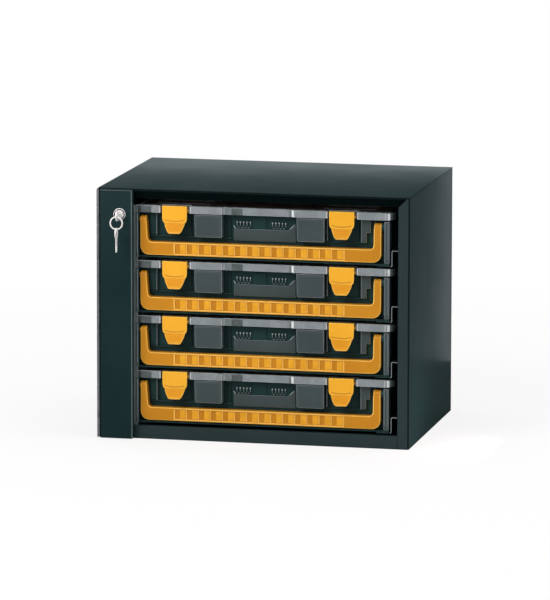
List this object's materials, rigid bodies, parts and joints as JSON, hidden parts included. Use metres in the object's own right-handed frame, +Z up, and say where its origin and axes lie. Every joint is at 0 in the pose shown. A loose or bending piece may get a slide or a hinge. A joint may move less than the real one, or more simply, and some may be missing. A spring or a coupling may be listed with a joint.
{
  "type": "parts bin cabinet",
  "caption": "Sheet-steel cabinet with a lockable door bar and stacked pull-out organiser cases, each with clear lid, swing handle and latches.",
  "frame": {"origin": "middle of the cabinet's base, on the surface it stands on", "axes": "+X to the right seen from the front, +Y to the back, +Z up; the front with the handles faces -Y"},
  "size_m": [0.533, 0.4252, 0.425],
  "materials": {
    "powder_coat": "satin dark grey-green powder coat",
    "bare_steel": "zinc-plated sheet",
    "case_body": "fine-grained charcoal",
    "clear_lid": "clear, smooth",
    "cup_plastic": "smooth",
    "handle_yellow": "fine-grained",
    "latch_yellow": "satin",
    "nickel": "polished nickel plate"
  },
  "bodies": {
    "cabinet": {"side_left": "powder_coat", "side_right": "powder_coat", "top_panel": "powder_coat", "base_panel": "powder_coat", "back_panel": "powder_coat", "header_rail": "powder_coat", "front_rail": "powder_coat", "stile_left": "powder_coat", "stile_right": "powder_coat", "inner_wall": "powder_coat", "rivets": "bare_steel", "hinge_leaf_fixed": "bare_steel", "hinge_pin": "bare_steel", "runner_left_1": "powder_coat", "runner_right_1": "powder_coat", "runner_left_2": "powder_coat", "runner_right_2": "powder_coat", "runner_left_3": "powder_coat", "runner_right_3": "powder_coat", "runner_left_4": "powder_coat", "runner_right_4": "powder_coat"},
    "door": {"door_bar": "powder_coat", "hinge_leaf_door": "bare_steel", "lock_barrel": "nickel", "lock_nut": "bare_steel"},
    "lock": {"lock_plug": "nickel", "lock_cam": "bare_steel", "cam_screw": "bare_steel", "key": "nickel"},
    "key_ring": {"key_ring": "nickel"},
    "spare_key": {"spare_key": "nickel"},
    "case_1": {"case_base_1": "case_body", "case_lid_1": "clear_lid", "lid_hinge_rod_1": "bare_steel", "cups_1": "cup_plastic"},
    "handle_1": {"handle_1": "handle_yellow"},
    "latch_left_1": {"latch_left_1": "latch_yellow"},
    "latch_right_1": {"latch_right_1": "latch_yellow"},
    "case_2": {"case_base_2": "case_body", "case_lid_2": "clear_lid", "lid_hinge_rod_2": "bare_steel", "cups_2": "cup_plastic"},
    "handle_2": {"handle_2": "handle_yellow"},
    "latch_left_2": {"latch_left_2": "latch_yellow"},
    "latch_right_2": {"latch_right_2": "latch_yellow"},
    "case_3": {"case_base_3": "case_body", "case_lid_3": "clear_lid", "lid_hinge_rod_3": "bare_steel", "cups_3": "cup_plastic"},
    "handle_3": {"handle_3": "handle_yellow"},
    "latch_left_3": {"latch_left_3": "latch_yellow"},
    "latch_right_3": {"latch_right_3": "latch_yellow"},
    "case_4": {"case_base_4": "case_body", "case_lid_4": "clear_lid", "lid_hinge_rod_4": "bare_steel", "cups_4": "cup_plastic"},
    "handle_4": {"handle_4": "handle_yellow"},
    "latch_left_4": {"latch_left_4": "latch_yellow"},
    "latch_right_4": {"latch_right_4": "latch_yellow"}
  },
  "joints": [
    {"name": "door_hinge", "type": "hinge", "parent": "cabinet", "child": "door", "pos_m": [-0.2638, -0.2005, 0.2125], "axis": [0, 0, -1], "range_deg": [0, 170]},
    {"name": "lock_turn", "type": "hinge", "parent": "door", "child": "lock", "pos_m": [-0.2258, -0.203, 0.383], "axis": [0, -1, 0], "range_deg": [0, 90]},
    {"name": "key_ring_swing", "type": "hinge", "parent": "lock", "child": "key_ring", "pos_m": [-0.2258, -0.2261, 0.3816], "axis": [1, 0, 0], "range_deg": [-35, 8]},
    {"name": "spare_key_swing", "type": "hinge", "parent": "key_ring", "child": "spare_key", "pos_m": [-0.2258, -0.2261, 0.3608], "axis": [1, 0, 0], "range_deg": [-35, 8]},
    {"name": "case_slide_1", "type": "slide", "parent": "cabinet", "child": "case_1", "axis": [0, -1, 0], "range_m": [0, 0.33]},
    {"name": "handle_swing_1", "type": "hinge", "parent": "case_1", "child": "handle_1", "pos_m": [0.0075, -0.175, 0.3725], "axis": [-1, 0, 0], "range_deg": [0, 90]},
    {"name": "latch_left_swing_1", "type": "hinge", "parent": "case_1", "child": "latch_left_1", "pos_m": [-0.1355, -0.177, 0.389], "axis": [-1, 0, 0], "range_deg": [0, 90]},
    {"name": "latch_right_swing_1", "type": "hinge", "parent": "case_1", "child": "latch_right_1", "pos_m": [0.1505, -0.177, 0.389], "axis": [-1, 0, 0], "range_deg": [0, 90]},
    {"name": "case_slide_2", "type": "slide", "parent": "cabinet", "child": "case_2", "axis": [0, -1, 0], "range_m": [0, 0.33]},
    {"name": "handle_swing_2", "type": "hinge", "parent": "case_2", "child": "handle_2", "pos_m": [0.0075, -0.175, 0.2786], "axis": [-1, 0, 0], "range_deg": [0, 90]},
    {"name": "latch_left_swing_2", "type": "hinge", "parent": "case_2", "child": "latch_left_2", "pos_m": [-0.1355, -0.177, 0.2951], "axis": [-1, 0, 0], "range_deg": [0, 90]},
    {"name": "latch_right_swing_2", "type": "hinge", "parent": "case_2", "child": "latch_right_2", "pos_m": [0.1505, -0.177, 0.2951], "axis": [-1, 0, 0], "range_deg": [0, 90]},
    {"name": "case_slide_3", "type": "slide", "parent": "cabinet", "child": "case_3", "axis": [0, -1, 0], "range_m": [0, 0.33]},
    {"name": "handle_swing_3", "type": "hinge", "parent": "case_3", "child": "handle_3", "pos_m": [0.0075, -0.175, 0.1847], "axis": [-1, 0, 0], "range_deg": [0, 90]},
    {"name": "latch_left_swing_3", "type": "hinge", "parent": "case_3", "child": "latch_left_3", "pos_m": [-0.1355, -0.177, 0.2012], "axis": [-1, 0, 0], "range_deg": [0, 90]},
    {"name": "latch_right_swing_3", "type": "hinge", "parent": "case_3", "child": "latch_right_3", "pos_m": [0.1505, -0.177, 0.2012], "axis": [-1, 0, 0], "range_deg": [0, 90]},
    {"name": "case_slide_4", "type": "slide", "parent": "cabinet", "child": "case_4", "axis": [0, -1, 0], "range_m": [0, 0.33]},
    {"name": "handle_swing_4", "type": "hinge", "parent": "case_4", "child": "handle_4", "pos_m": [0.0075, -0.175, 0.0908], "axis": [-1, 0, 0], "range_deg": [0, 90]},
    {"name": "latch_left_swing_4", "type": "hinge", "parent": "case_4", "child": "latch_left_4", "pos_m": [-0.1355, -0.177, 0.1073], "axis": [-1, 0, 0], "range_deg": [0, 90]},
    {"name": "latch_right_swing_4", "type": "hinge", "parent": "case_4", "child": "latch_right_4", "pos_m": [0.1505, -0.177, 0.1073], "axis": [-1, 0, 0], "range_deg": [0, 90]}
  ]
}
